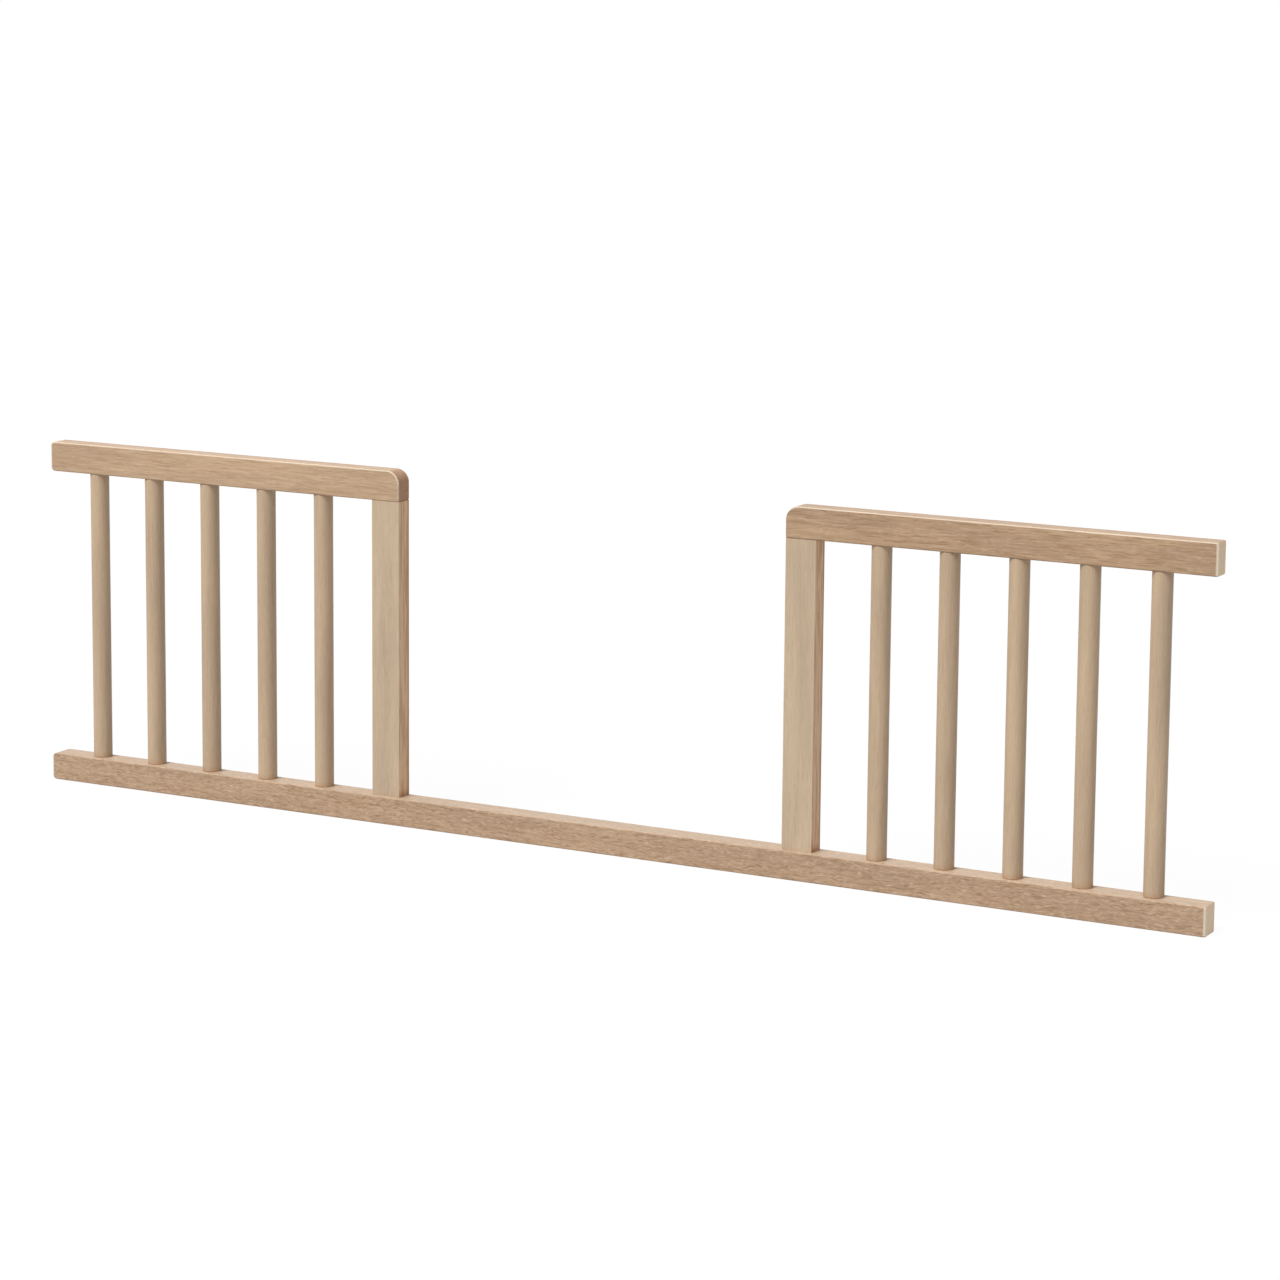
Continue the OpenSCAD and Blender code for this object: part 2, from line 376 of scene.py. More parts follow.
def log_coordinates(along, across, up, seed):
    """Place in the log that a board was sawn from: distance along it, distance from the pith and arc length round
    the pith. The pith lies 55 to 110 mm away from the board's middle line, on a side that the seed picks, and it
    drifts in a slow sine along the board, as the grain of a real board does."""
    rng = np.random.default_rng(seed)
    distance = rng.uniform(0.055, 0.110)
    bearing = rng.uniform(0, 2 * math.pi)
    drift = 0.004 * np.sin(along * rng.uniform(3.5, 7.0) + rng.uniform(0, 6))
    side = across + distance * math.cos(bearing) + drift
    height = up + distance * math.sin(bearing) + 0.6 * drift
    radius = np.hypot(side, height)
    turn = np.arctan2(height * math.cos(bearing) - side * math.sin(bearing),
                      side * math.cos(bearing) + height * math.sin(bearing))
    return np.stack([along + rng.uniform(0, 3), radius, turn * distance], -1)


def outline_depth(x, z, low, high, corner_radii):
    """Depth of points inside a rectangle with four unlike round corners (start low, start high, end low, end high):
    the usual distance to a rounded box, with the radius of the corner that a point is nearest to."""
    mid = ((low[0] + high[0]) / 2, (low[1] + high[1]) / 2)
    radius = np.where(
        x < mid[0],
        np.where(z < mid[1], corner_radii[0], corner_radii[1]),
        np.where(z < mid[1], corner_radii[2], corner_radii[3]),
    )
    qx = np.abs(x - mid[0]) - (high[0] - low[0]) / 2 + radius
    qz = np.abs(z - mid[1]) - (high[1] - low[1]) / 2 + radius
    outside = np.hypot(np.maximum(qx, 0), np.maximum(qz, 0)) + np.minimum(np.maximum(qx, qz), 0)
    return radius - outside


def on_arris(depth_a, depth_b, radius):
    """1 along the crest of a quarter round of that radius and 0 where it meets the two flats: the depths under the
    two flats add up to the radius at its borders and to 0.586 of it on the crest."""
    return np.clip((radius - depth_a - depth_b) / ((math.sqrt(2) - 1) * radius), 0, 1)


# Materials


def node_of(tree, kind, inputs=None, **settings):
    """A new node of that kind with its settings made and its inputs linked or set."""
    made = tree.nodes.new(kind)
    for key, value in settings.items():
        setattr(made, key, value)
    for key, value in (inputs or {}).items():
        if isinstance(value, bpy.types.NodeSocket):
            tree.links.new(value, made.inputs[key])
        else:
            made.inputs[key].default_value = value
    return made


def maths(tree, operation, a, b=0.0, c=0.0, clamp=False):
    return node_of(tree, "ShaderNodeMath", {0: a, 1: b, 2: c}, operation=operation, use_clamp=clamp).outputs[0]


def ramp(tree, value, low, high, to_low=0.0, to_high=1.0):
    """Smooth step from to_low to to_high as value goes from low to high."""
    return node_of(
        tree, "ShaderNodeMapRange", {0: value, 1: low, 2: high, 3: to_low, 4: to_high}, interpolation_type="SMOOTHSTEP"
    ).outputs[0]


def blend(tree, share, first, second):
    """Colour that goes from first to second as share goes from 0 to 1."""
    mix = node_of(tree, "ShaderNodeMix", data_type="RGBA", blend_type="MIX")
    for index, value in ((0, share), (6, first), (7, second)):
        if isinstance(value, bpy.types.NodeSocket):
            tree.links.new(value, mix.inputs[index])
        else:
            mix.inputs[index].default_value = value
    return mix.outputs[2]


def scaled(tree, vector, scale):
    return node_of(tree, "ShaderNodeMapping", {"Vector": vector, "Scale": scale}).outputs[0]


def noise(tree, vector, scale, detail=3.0, roughness=0.55):
    return node_of(
        tree, "ShaderNodeTexNoise",
        {"Vector": scaled(tree, vector, scale), "Scale": 1.0, "Detail": detail, "Roughness": roughness},
    ).outputs["Fac"]


def tinted(colour, red, green, blue):
    return (colour[0] * red, colour[1] * green, colour[2] * blue)


def rgba(colour, factor=1.0):
    return (*[min(1.0, c * factor) for c in colour], 1.0)


def new_material(name):
    material = bpy.data.materials.new(name)
    material.use_nodes = True
    tree = material.node_tree
    tree.nodes.clear()
    shader = tree.nodes.new("ShaderNodeBsdfPrincipled")
    output = tree.nodes.new("ShaderNodeOutputMaterial")
    tree.links.new(shader.outputs[0], output.inputs[0])
    return material, tree, shader


def beech(name, ground, wood, figure, flecks, wisp_length, sway):
    """Lacquered beech. Reads three attributes: log (place in the log), tone (painted highlight on arrises and tops,
    narrow side, painted light on the outer end grain) and painted shade. The ground colour wanders in long streaks,
    growth rings darken their late wood, wisps and short flecks lie along the grain, and fine fibres carry the bump and
    the roughness."""
    material, tree, shader = new_material(name)
    log = node_of(tree, "ShaderNodeAttribute", attribute_name="log").outputs["Vector"]
    tone = node_of(tree, "ShaderNodeSeparateXYZ",
                   {0: node_of(tree, "ShaderNodeAttribute", attribute_name="tone").outputs["Vector"]}).outputs
    painted_shade = node_of(tree, "ShaderNodeAttribute", attribute_name="painted_shade").outputs["Fac"]
    radius = node_of(tree, "ShaderNodeSeparateXYZ", {0: log}).outputs[1]

    clouds = noise(tree, log, (5.0, 45.0, 45.0), 2.0)
    streaks = noise(tree, log, (14.0, 240.0, 240.0), 4.0, 0.6)
    swing = node_of(
        tree, "ShaderNodeTexNoise", {"Vector": scaled(tree, log, (60.0, 90.0, 90.0)), "Scale": 1.0, "Detail": 1.0}
    ).outputs["Color"]
    swing = node_of(tree, "ShaderNodeVectorMath", {0: swing, 1: (0.0, sway, sway)}, operation="MULTIPLY").outputs[0]
    wavy = node_of(tree, "ShaderNodeVectorMath", {0: log, 1: swing}, operation="ADD").outputs[0]
    wisps = noise(tree, wavy, (1 / wisp_length, 760.0, 760.0), 3.0, 0.58)
    fibres = noise(tree, log, (80.0, 1400.0, 1400.0), 3.0, 0.65)
    warp = noise(tree, log, (11.0, 30.0, 30.0), 3.0)

    turns = maths(tree, "MULTIPLY_ADD", warp, 2.6, maths(tree, "DIVIDE", radius, wood.ring_spacing))
    ring = ramp(tree, maths(tree, "FRACT", turns), 0.55, 0.97)
    late = maths(tree, "MULTIPLY", ring, ramp(tree, streaks, 0.36, 0.64))
    sawn = maths(tree, "MULTIPLY", tone[2], maths(tree, "MAXIMUM", ring, ramp(tree, fibres, 0.55, 0.70)))

    rays = node_of(
        tree, "ShaderNodeTexVoronoi", {"Vector": scaled(tree, wavy, (120.0, 150.0, 620.0)), "Scale": 1.0},
        feature="F1",
    )
    ray_mask = ramp(tree, rays.outputs["Distance"], 0.44, 0.14)
    chosen = node_of(tree, "ShaderNodeSeparateColor", {0: rays.outputs["Color"]}).outputs
    dark = maths(tree, "MULTIPLY", ray_mask, maths(tree, "GREATER_THAN", chosen[0], 0.58))
    pale = maths(tree, "MULTIPLY", ray_mask, maths(tree, "GREATER_THAN", chosen[1], 0.62))

    light, warm, brown = tinted(ground, 1.30, 1.34, 1.40), tinted(ground, 0.92, 0.86, 0.80), tinted(ground, 0.60, 0.52, 0.45)
    colour = blend(tree, ramp(tree, clouds, 0.34, 0.66), rgba(tinted(ground, 0.93, 0.93, 0.94)),
                   rgba(tinted(ground, 1.08, 1.08, 1.07)))
    for mask, share, towards in (
        (ramp(tree, streaks, 0.45, 0.70), 0.60 * figure, warm),
        (late, 0.38 * figure, brown),
        (ramp(tree, wisps, 0.47, 0.36), 0.62 * figure, light),
        (ramp(tree, wisps, 0.53, 0.66), 0.66 * figure, brown),
        (ramp(tree, fibres, 0.52, 0.72), 0.24 * figure, brown),
        (pale, 0.42 * flecks, tuple(wood.silver_colour)),
        (dark, 0.40 * flecks, tuple(wood.fleck_colour)),
        (tone[1], 0.90, tuple(wood.side_colour)),
        (maths(tree, "MULTIPLY", tone[1], ramp(tree, streaks, 0.47, 0.58)), 0.50, tuple(wood.shade_and_streak_colour)),
        # Painted light on the outer end faces, with the end grain's rings over it
        (tone[2], 1.00, tuple(wood.end_light_colour)),
        (sawn, 0.55, tinted(wood.end_light_colour, 0.70, 0.58, 0.48)),
        # Painted highlight on the arrises and tops
        (tone[0], 1.00, tuple(wood.arris_highlight_colour)),
        # Painted shade, broken up by the streaks
        (maths(tree, "MULTIPLY", painted_shade, ramp(tree, streaks, 0.30, 0.52, 0.55, 1.0)), 0.92, tuple(wood.shade_and_streak_colour)),
    ):
        colour = blend(tree, maths(tree, "MULTIPLY", mask, share), colour, rgba(towards))
    grain = ramp(tree, fibres, 0.25, 0.75, 0.91, 1.09)
    colour = node_of(tree, "ShaderNodeVectorMath", {0: colour, 1: grain}, operation="MULTIPLY").outputs[0]
    tree.links.new(colour, shader.inputs["Base Color"])

    shader.inputs["Specular IOR Level"].default_value = wood.gloss
    rough = ramp(tree, streaks, 0.25, 0.75, wood.roughness - 0.06, wood.roughness + 0.08)
    rough = maths(tree, "SUBTRACT", rough, maths(tree, "MULTIPLY", pale, 0.05))
    tree.links.new(rough, shader.inputs["Roughness"])
    relief = maths(tree, "SUBTRACT", fibres, maths(tree, "MULTIPLY", dark, 0.5))
    bump = node_of(tree, "ShaderNodeBump", {"Height": relief, "Strength": 0.22, "Distance": 0.0002})
    tree.links.new(bump.outputs[0], shader.inputs["Normal"])
    return material


def bare_beech(name, ground):
    """Unlacquered beech of the dowel pins, with upright grain and pressed flutes."""
    material, tree, shader = new_material(name)
    place = tree.nodes.new("ShaderNodeTexCoord").outputs["Object"]
    streaks = noise(tree, place, (700.0, 700.0, 40.0), 3.0)
    pores = noise(tree, place, (2600.0, 2600.0, 260.0), 2.0)
    colour = blend(tree, ramp(tree, streaks, 0.3, 0.7), rgba(ground, 1.1), rgba(ground, 0.8))
    colour = blend(tree, maths(tree, "MULTIPLY", ramp(tree, pores, 0.55, 0.75), 0.4), colour, rgba(ground, 0.55))
    tree.links.new(colour, shader.inputs["Base Color"])
    tree.links.new(ramp(tree, streaks, 0.2, 0.8, 0.68, 0.82), shader.inputs["Roughness"])
    bump = node_of(tree, "ShaderNodeBump", {"Height": pores, "Strength": 0.3, "Distance": 0.0001})
    tree.links.new(bump.outputs[0], shader.inputs["Normal"])
    return material


def zinc_plate(name):
    """Bright zinc on turned steel: mottled plating, faint turning marks along the insert and dull patches."""
    material, tree, shader = new_material(name)
    place = tree.nodes.new("ShaderNodeTexCoord").outputs["Object"]
    mottle = noise(tree, place, (420.0, 420.0, 420.0), 4.0, 0.6)
    marks = noise(tree, place, (150.0, 5200.0, 150.0), 2.0)
    colour = blend(tree, ramp(tree, mottle, 0.35, 0.65), (0.52, 0.54, 0.57, 1.0), (0.72, 0.71, 0.66, 1.0))
    tree.links.new(colour, shader.inputs["Base Color"])
    shader.inputs["Metallic"].default_value = 1.0
    tree.links.new(ramp(tree, mottle, 0.3, 0.7, 0.24, 0.44), shader.inputs["Roughness"])
    bump = node_of(tree, "ShaderNodeBump", {"Height": marks, "Strength": 0.15, "Distance": 0.00005})
    tree.links.new(bump.outputs[0], shader.inputs["Normal"])
    return material


# Places of the joints


def inner_side(side, low, high):
    """X of the inner and the outer end of a piece on that side."""
    return (high[0], low[0]) if side == "left" else (low[0], high[0])


def joint_holes(shape, side, face_z, direction, spindles=True):
    """Cutters for one side's tenon and dowel holes in the face at height face_z; direction 1 goes up."""
    cutters = []
    if spindles:
        for i in range(1, SPINDLES_PER_SIDE + 1):
            low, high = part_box(f"{side}_spindle_{i}")
            x, y = (low[0] + high[0]) / 2, (low[1] + high[1]) / 2
            reach = (high[2] - face_z if direction > 0 else face_z - low[2]) + shape.glue_space
            diameter = shape.tenon_diameter + 2 * shape.fit_clearance
            cutters.append(hole((x, y, face_z - direction * 0.0), (x, y, face_z + direction * reach), diameter))
    which = "top" if face_z > CAD_BOX[1][2] / 2 else "bottom"
    low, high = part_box(f"{side}_{which}_dowel_pins")
    x, y = (low[0] + high[0]) / 2, (low[1] + high[1]) / 2
    reach = (high[2] - low[2]) / 2 + shape.glue_space
    for offset in (-shape.dowel_spacing / 2, shape.dowel_spacing / 2):
        cutters.append(
            hole((x + offset, y, face_z), (x + offset, y, face_z + direction * reach),
                 shape.dowel_diameter + 2 * shape.fit_clearance)
        )
    return cutters


def insert_hole(shape, side, which):
    """Cutter for the hole of a threaded insert, bored from the back."""
    low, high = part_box(f"{side}_{which}_insert")
    x, z = (low[0] + high[0]) / 2, (low[2] + high[2]) / 2
    diameter = high[0] - low[0] + 2 * shape.fit_clearance
    return hole((x, high[1], z), (x, low[1] - shape.glue_space, z), diameter)


def set_wood_attributes(mesh, log, arris=0.0, side=0.0, end=0.0, painted_shade=0.0):
    """Stores where the mesh lies in the log, its tones (painted highlight, narrow side, painted end light) and painted
    shade, each an array of one value a point or one number.
    """
    flat = np.zeros(len(mesh.vertices))
    for name, values in (("log", log), ("tone", np.stack([flat + arris, flat + side, flat + end], -1))):
        mesh.attributes.new(name, "FLOAT_VECTOR", "POINT").data.foreach_set("vector", values.astype(np.float32).ravel())
    share = np.clip(flat + painted_shade, 0, 1).astype(np.float32)
    mesh.attributes.new("painted_shade", "FLOAT", "POINT").data.foreach_set("value", share)


def tone_rail(mesh, low, high, corner_radii, end_radii, shape, seed, ends, arris_share=0.0, top_share=0.0, joint=None):
    """Attributes of a lying board. ends says what its start and its end are: "inner", the end above a post, which gets
    painted shade on its end face, or the strength from 0 to 1 of the painted light on its end grain. arris_share is the
    strength of the painted highlight on its upper front arris, top_share that of the painted light on its top, and
    joint the X range of the post under it, where the lower arris gets a painted highlight too."""
    co = mesh_points(mesh)
    x, y, z = co.T
    mid = (low + high) / 2
    rim = outline_depth(x, z, (low[0], low[2]), (high[0], high[2]), corner_radii)
    face = np.minimum(y - low[1], high[1] - y)
    front = y < mid[1]
    crest = on_arris(rim, face, shape.arris_radius)
    upper = z > mid[2]
    # Painted highlight along the upper front arris, and painted light on the top
    arris = crest * front * upper * arris_share
    top = np.clip(1 - (high[2] - z) / 0.0006, 0, 1)
    arris = np.maximum(arris, top * top_share)
    # Painted highlight on the lower front arris above the post
    if joint:
        arris = np.maximum(arris, 0.5 * arris_share * crest * front * ~upper * (x > joint[0]) * (x < joint[1]))
    # Painted shade along the lower front arris and along the back edge of the top
    behind = np.clip((y - high[1] + 0.0065) / 0.003, 0, 1)
    painted_shade = np.maximum(crest * ~upper * front * 0.25, 0.75 * (arris_share > 0) * np.maximum(top, crest * upper) * behind)
    end = np.zeros(len(co))
    for depth, kind, radius in ((x - low[0], ends[0], end_radii[0]), (high[0] - x, ends[1], end_radii[1])):
        if kind == "inner":
            # Painted shade on the inner end face, darker towards the back
            near = np.clip((shape.inner_corner_radius - depth) / shape.inner_corner_radius, 0, 1) ** 0.6
            on_rim = np.clip(1 - rim / 0.0006, 0, 1) * (1 - crest * front)
            back = np.clip((y - low[1]) / (high[1] - low[1]), 0, 1)
            painted_shade = np.maximum(painted_shade, on_rim * near * (0.72 + 0.23 * back))
            # The painted arris highlight runs on round an inner corner at the board's end, and fades out before an
            # inner corner at its start
            fallen = crest * front * np.clip(1 - depth / 0.006, 0, 1) * arris_share
            arris = np.maximum(arris, fallen) if ends[1] == "inner" else arris * np.clip((depth - 0.004) / 0.008, 0, 1)
        else:
            # Painted highlight on the rounded front edge of an outer end, widened onto the end face, and painted light
            # on the whole end face
            band = np.clip(1 - depth / 0.0006, 0, 1) * np.clip(1 - (y - low[1] - radius) / 0.0015, 0, 1)
            arris = np.maximum(arris, np.maximum(on_arris(depth, face, radius) * front, 0.85 * band) * kind)
            end = np.maximum(end, kind * np.clip(1 - depth / 0.0006, 0, 1))
    set_wood_attributes(mesh, log_coordinates(x, y - mid[1], z - mid[2], seed), arris, 0.0, end, painted_shade)


# Operators


def shape_and_wood(context):
    return context.scene.guard_rail_shape, context.scene.guard_rail_wood


def wood_material(context, kind):
    """The shared material for that kind of piece, made on first use."""
    wood = context.scene.guard_rail_wood
    name = f"Satin beech, {kind}"
    found = bpy.data.materials.get(name)
    if found:
        return found
    ground, *figure = {
        "bottom rail": (wood.bottom_rail_colour, 1.10, 1.0, 0.014, 0.007),
        "left top rail": (wood.left_rail_colour, 0.75, 0.4, 0.030, 0.002),
        "right top rail": (wood.right_rail_colour, 0.95, 0.5, 0.034, 0.0025),
        "post": (wood.post_colour, 0.22, 0.10, 0.050, 0.001),
        "spindle": (wood.spindle_colour, 0.20, 0.08, 0.050, 0.001),
    }[kind]
    return beech(name, tuple(ground), wood, *figure)


class GUARDRAIL_OT_bottom_rail(bpy.types.Operator):
    """Build the long bottom rail with its holes for tenons, dowel pins and inserts"""

    bl_idname = "guardrail.bottom_rail"
    bl_label = "Bottom rail"

    def execute(self, context):
        shape, _ = shape_and_wood(context)
        low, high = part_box("bottom_rail")
        corners = (shape.left_end_radius, shape.left_end_radius, shape.right_end_radius, shape.right_end_radius)
        ends = (shape.end_arris_radius, shape.end_arris_radius)
        body = board(low, high, corners, ends, shape.arris_radius, shape.planing_wave, 11)
        holes = [insert_hole(shape, side, "bottom") for side in SIDES]
        for side in SIDES:
            holes += joint_holes(shape, side, high[2], -1)
        mesh = drilled("bottom_rail_board", body, holes)
        # Painted light on the end faces, fainter at the left end, and on the top
        tone_rail(mesh, low, high, corners, ends, shape, 21, (0.4, 1.0), top_share=0.22)
        add_piece("bottom_rail_board", mesh, wood_material(context, "bottom rail"), "bottom_rail")
        return {"FINISHED"}


class GUARDRAIL_OT_top_rails(bpy.types.Operator):
    """Build the two top rails, each with a large round corner above its post"""

    bl_idname = "guardrail.top_rails"
    bl_label = "Top rails"

    def execute(self, context):
        shape, _ = shape_and_wood(context)
        for seed, side in enumerate(SIDES):
            node = f"{side}_top_rail"
            low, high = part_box(node)
            if side == "left":
                corners = (shape.left_end_radius, shape.left_end_radius, shape.arris_radius, shape.inner_corner_radius)
                ends = (shape.end_arris_radius, shape.arris_radius)
            else:
                corners = (shape.arris_radius, shape.inner_corner_radius, shape.right_end_radius, shape.right_end_radius)
                ends = (shape.arris_radius, shape.end_arris_radius)
            body = board(low, high, corners, ends, shape.arris_radius, shape.planing_wave, 12 + seed)
            holes = [insert_hole(shape, side, "top")] + joint_holes(shape, side, low[2], 1)
            mesh = drilled(f"{side}_top_rail_board", body, holes)
            # Painted light on the outer end face, painted shade on the inner end, and painted highlights on the upper
            # front arris and the top
            kinds = (0.4, "inner") if side == "left" else ("inner", 1.0)
            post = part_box(f"{side}_post")
            tone_rail(
                mesh, low, high, corners, ends, shape, 31 + seed, kinds, arris_share=0.68, top_share=0.09,
                joint=(post[0][0], post[1][0]),
            )
            add_piece(f"{side}_top_rail_board", mesh, wood_material(context, f"{side} top rail"), node)
        return {"FINISHED"}


class GUARDRAIL_OT_posts(bpy.types.Operator):
    """Build the two flat posts beside the entry gap"""

    bl_idname = "guardrail.posts"
    bl_label = "Posts"

    def execute(self, context):
        shape, _ = shape_and_wood(context)
        for seed, side in enumerate(SIDES):
            node = f"{side}_post"
            low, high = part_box(node)
            lying_low = (low[2], low[0], low[1])
            lying_high = (high[2], high[0], high[1])
            square = (0.0, 0.0, 0.0, 0.0)
            vertices, faces = board(
                lying_low, lying_high, square, (0.0, 0.0), shape.arris_radius, shape.planing_wave, 14 + seed
            )
            holes = joint_holes(shape, side, low[2], 1, spindles=False)
            holes += joint_holes(shape, side, high[2], -1, spindles=False)
            mesh = drilled(f"{side}_post_board", (stood_up(vertices), faces), holes)
            co = mesh_points(mesh)
            mid = (low + high) / 2
            from_side = np.minimum(co[:, 0] - low[0], high[0] - co[:, 0])
            from_face = np.minimum(co[:, 1] - low[1], high[1] - co[:, 1])
            crest = on_arris(from_side, from_face, shape.arris_radius)
            narrow = np.clip(1 - from_side / 0.0006, 0, 1)
            behind = np.clip(1 - (high[1] - co[:, 1]) / 0.0065, 0, 1)
            foot = np.clip(1 - (co[:, 2] - low[2]) / 0.003, 0, 1)
            front = co[:, 1] < mid[1]
            log = log_coordinates(co[:, 2], co[:, 0] - mid[0], co[:, 1] - mid[1], 41 + seed)
            # Painted highlight on the front arrises; the narrow sides get their own colour, with painted shade along
            # their back edge and at their foot
            set_wood_attributes(mesh, log, 0.45 * crest * front, narrow, 0.0, narrow * np.maximum(behind, 0.8 * foot))
            add_piece(f"{side}_post_board", mesh, wood_material(context, "post"), node)
        return {"FINISHED"}


class GUARDRAIL_OT_spindles(bpy.types.Operator):
    """Turn the ten spindles, with eased shoulders and tenons"""

    bl_idname = "guardrail.spindles"
    bl_label = "Spindles"

    def execute(self, context):
        shape, _ = shape_and_wood(context)
        rail_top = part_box("bottom_rail")[1][2]
        rail_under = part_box("left_top_rail")[0][2]
        for s, side in enumerate(SIDES):
            for i in range(1, SPINDLES_PER_SIDE + 1):
                node = f"{side}_spindle_{i}"
                low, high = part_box(node)
                centre = ((low[0] + high[0]) / 2, (low[1] + high[1]) / 2, 0.0)
                profile = self.profile(shape, (high[0] - low[0]) / 2, low[2], rail_top, rail_under, high[2], 60 + 10 * s + i)
                mesh = make_mesh(f"{node}_turned", *turned(profile, centre, 64))
                co = mesh_points(mesh)
                log = log_coordinates(co[:, 2], co[:, 0] - centre[0], co[:, 1] - centre[1], 80 + 10 * s + i)
                # Painted shade at the foot of each spindle, just above the bottom rail
                set_wood_attributes(mesh, log, painted_shade=0.5 * np.clip(1 - (co[:, 2] - rail_top) / 0.0025, 0, 1))
                add_piece(f"{node}_turned", mesh, wood_material(context, "spindle"), node)
        return {"FINISHED"}

    @staticmethod
    def profile(shape, radius, bottom, shoulder_low, shoulder_high, top, seed):
        """Radius against height: chamfered tenon, square shoulder with a small quarter round, and a body whose
        radius dips by a few hundredths of a millimetre in slow waves, then the same mirrored."""
        tenon = shape.tenon_diameter / 2
        tip = tenon - shape.tenon_chamfer
        round_off = shape.shoulder_radius
        angle = np.linspace(0, RIGHT_ANGLE, 5)
        lower = [(tip * 0.5, bottom), (tip, bottom), (tenon, bottom + shape.tenon_chamfer), (tenon, shoulder_low)]
        lower += [(tenon + 0.0004, shoulder_low), (radius - round_off - 0.0004, shoulder_low)]
        lower += list(zip(radius - round_off * (1 - np.sin(angle)), shoulder_low + round_off * (1 - np.cos(angle))))
        heights = np.linspace(shoulder_low + round_off + 0.0006, shoulder_high - round_off - 0.0006, 60)
        fade = np.clip(np.minimum(heights - shoulder_low, shoulder_high - heights) / 0.02, 0, 1)
        body = list(zip(radius - fade * planing(heights, seed, 0.00005), heights))
        middle = bottom + top
        upper = [(r, middle - h) for r, h in reversed(lower)]
        return np.array(lower + body + upper)


class GUARDRAIL_OT_dowel_pins(bpy.types.Operator):
    """Give the CAD model's dowel pins their bare beech"""

    bl_idname = "guardrail.dowel_pins"
    bl_label = "Dowel pins"

    def execute(self, context):
        material = bare_beech("Bare beech, dowel pins", (0.52, 0.38, 0.25))
        dress_nodes([f"{side}_{which}_dowel_pins" for side in SIDES for which in ("top", "bottom")], material)
        return {"FINISHED"}


class GUARDRAIL_OT_inserts(bpy.types.Operator):
    """Give the CAD model's threaded inserts their zinc plate"""

    bl_idname = "guardrail.inserts"
    bl_label = "Threaded inserts"

    def execute(self, context):
        material = zinc_plate("Zinc-plated steel")
        dress_nodes([f"{side}_{which}_insert" for side in SIDES for which in ("top", "bottom")], material)
        return {"FINISHED"}


def dress_nodes(names, material):
    for name in names:
        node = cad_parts[name]
        node.data.materials.clear()
        node.data.materials.append(material)


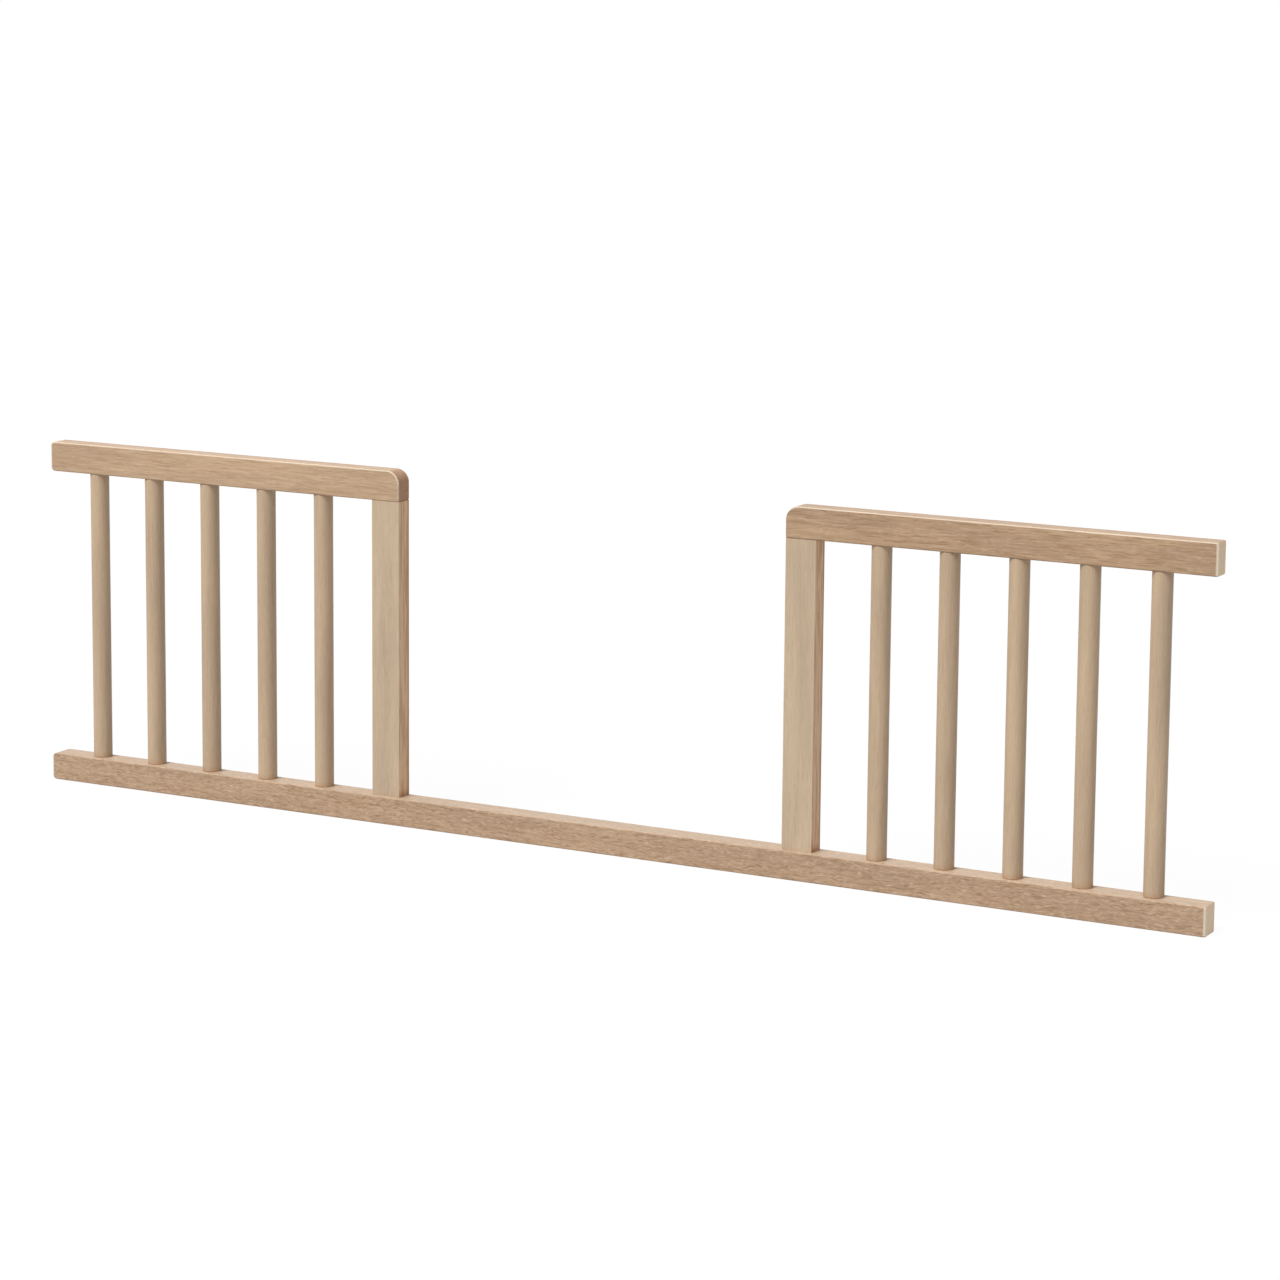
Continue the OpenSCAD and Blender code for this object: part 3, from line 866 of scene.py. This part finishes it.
class GUARDRAIL_OT_stage(bpy.types.Operator):
    """Set up the floor, the lamps, the sky and the camera"""

    bl_idname = "guardrail.stage"
    bl_label = "Stage"

    def execute(self, context):
        stage = context.scene.guard_rail_stage
        self.floor(context, stage)
        self.sky(context, stage)
        self.lamps(context, stage)
        self.camera(context, stage)
        context.scene.view_settings.view_transform = "Standard"
        return {"FINISHED"}

    @staticmethod
    def floor(context, stage):
        """Level square grid at the object's underside."""
        steps = stage.floor_steps + 1
        line = np.linspace(-stage.floor_size / 2, stage.floor_size / 2, steps)
        x, y = np.meshgrid(line, line)
        points = np.stack([x.ravel(), y.ravel(), np.full(steps * steps, CAD_BOX[0][2])], -1)
        row, column = np.meshgrid(np.arange(steps - 1), np.arange(steps - 1), indexing="ij")
        corner = row * steps + column
        quads = np.stack([corner, corner + 1, corner + steps + 1, corner + steps], -1).reshape(-1, 4)
        mesh = make_mesh("floor", points, [quads])
        material, tree, shader = new_material("Pale floor")
        shader.inputs["Base Color"].default_value = (0.55, 0.55, 0.55, 1.0)
        shader.inputs["Roughness"].default_value = 0.9
        shader.inputs["Specular IOR Level"].default_value = 0.0
        seen = seen_directly(tree)
        glow = node_of(tree, "ShaderNodeEmission", {"Color": (1.0, 1.0, 1.0, 1.0), "Strength": 1.045})
        share = maths(tree, "MULTIPLY", seen, stage.floor_lift)
        mixed = node_of(tree, "ShaderNodeMixShader", {0: share, 1: shader.outputs[0], 2: glow.outputs[0]})
        output = next(n for n in tree.nodes if n.type == "OUTPUT_MATERIAL")
        tree.links.new(mixed.outputs[0], output.inputs[0])
        mesh.materials.append(material)
        floor = bpy.data.objects.new("floor", mesh)
        context.scene.collection.objects.link(floor)

    @staticmethod
    def sky(context, stage):
        """Even light from all round, which the camera and reflections see as white."""
        world = bpy.data.worlds.new("Even sky")
        context.scene.world = world
        world.use_nodes = True
        tree = world.node_tree
        tree.nodes.clear()
        strength = ramp(tree, seen_directly(tree), 0.0, 1.0, stage.sky_strength, 1.0)
        sky = node_of(tree, "ShaderNodeBackground", {"Color": (1.0, 1.0, 1.0, 1.0), "Strength": strength})
        node_of(tree, "ShaderNodeOutputWorld", {"Surface": sky.outputs[0]})

    @staticmethod
    def lamps(context, stage):
        """One soft sun from above the front left."""
        lamp = bpy.data.lights.new("key", "SUN")
        lamp.energy = stage.key_strength
        lamp.angle = math.radians(30)
        key = bpy.data.objects.new("key", lamp)
        level = math.cos(stage.key_elevation)
        towards = Vector(
            (
                -math.sin(stage.key_azimuth) * level,
                -math.cos(stage.key_azimuth) * level,
                math.sin(stage.key_elevation),
            )
        )
        key.rotation_mode = "QUATERNION"
        key.rotation_quaternion = towards.to_track_quat("Z", "Y")
        key.location = 4 * towards
        context.scene.collection.objects.link(key)

    @staticmethod
    def camera(context, stage):
        """Camera at its place, turned left, tilted down and rolled about its line of sight."""
        data = bpy.data.cameras.new("camera")
        data.sensor_width = 36.0
        data.lens = stage.focal_length
        data.shift_y = stage.shift_y
        data.clip_start, data.clip_end = 0.1, 100.0
        camera = bpy.data.objects.new("camera", data)
        turn, tilt, roll = stage.camera_turn, stage.camera_tilt, stage.camera_roll
        level = Vector((-math.sin(turn), math.cos(turn), 0.0))
        right = Vector((math.cos(turn), math.sin(turn), 0.0))
        up = Vector((0.0, 0.0, 1.0))
        sight = level * math.cos(tilt) - up * math.sin(tilt)
        above = up * math.cos(tilt) + level * math.sin(tilt)
        side = right * math.cos(roll) + above * math.sin(roll)
        above = above * math.cos(roll) - right * math.sin(roll)
        rows = Matrix((side, above, -sight)).transposed()
        camera.matrix_world = Matrix.Translation(Vector(stage.camera_place)) @ rows.to_4x4()
        context.scene.collection.objects.link(camera)
        context.scene.camera = camera


def seen_directly(tree):
    """1 for what the camera, a mirror reflection or a see-through piece shows, and 0 for light on surfaces."""
    path = tree.nodes.new("ShaderNodeLightPath").outputs
    either = maths(tree, "MAXIMUM", path["Is Camera Ray"], path["Is Glossy Ray"])
    return maths(tree, "MAXIMUM", either, path["Is Transmission Ray"])


class GUARDRAIL_PT_panel(bpy.types.Panel):
    """Builds the guard rail and its stage, piece by piece"""

    bl_idname = "GUARDRAIL_PT_panel"
    bl_label = "Guard rail"
    bl_space_type = "VIEW_3D"
    bl_region_type = "UI"
    bl_category = "Guard rail"

    def draw(self, context):
        for heading, settings, steps in (
            ("Shape", context.scene.guard_rail_shape, PIECE_STEPS),
            ("Wood", context.scene.guard_rail_wood, ()),
            ("Stage", context.scene.guard_rail_stage, (GUARDRAIL_OT_stage,)),
        ):
            box = self.layout.box()
            box.label(text=heading)
            for name in settings.__annotations__:
                box.prop(settings, name)
            for step in steps:
                box.operator(step.bl_idname)


PIECE_STEPS = (
    GUARDRAIL_OT_bottom_rail,
    GUARDRAIL_OT_top_rails,
    GUARDRAIL_OT_posts,
    GUARDRAIL_OT_spindles,
    GUARDRAIL_OT_dowel_pins,
    GUARDRAIL_OT_inserts,
)
SETTINGS = (
    ("guard_rail_shape", GuardRailShape),
    ("guard_rail_wood", GuardRailWood),
    ("guard_rail_stage", GuardRailStage),
)
CLASSES = (*[group for _, group in SETTINGS], *PIECE_STEPS, GUARDRAIL_OT_stage, GUARDRAIL_PT_panel)


def register():
    for cls in CLASSES:
        bpy.utils.register_class(cls)
    for name, group in SETTINGS:
        setattr(bpy.types.Scene, name, PointerProperty(type=group))


def unregister():
    for name, _ in reversed(SETTINGS):
        delattr(bpy.types.Scene, name)
    for cls in reversed(CLASSES):
        bpy.utils.unregister_class(cls)


def main():
    register()
    bpy.ops.guardrail.bottom_rail()
    bpy.ops.guardrail.top_rails()
    bpy.ops.guardrail.posts()
    bpy.ops.guardrail.spindles()
    bpy.ops.guardrail.dowel_pins()
    bpy.ops.guardrail.inserts()
    bpy.ops.guardrail.stage()


if __name__ == "__main__":
    main()
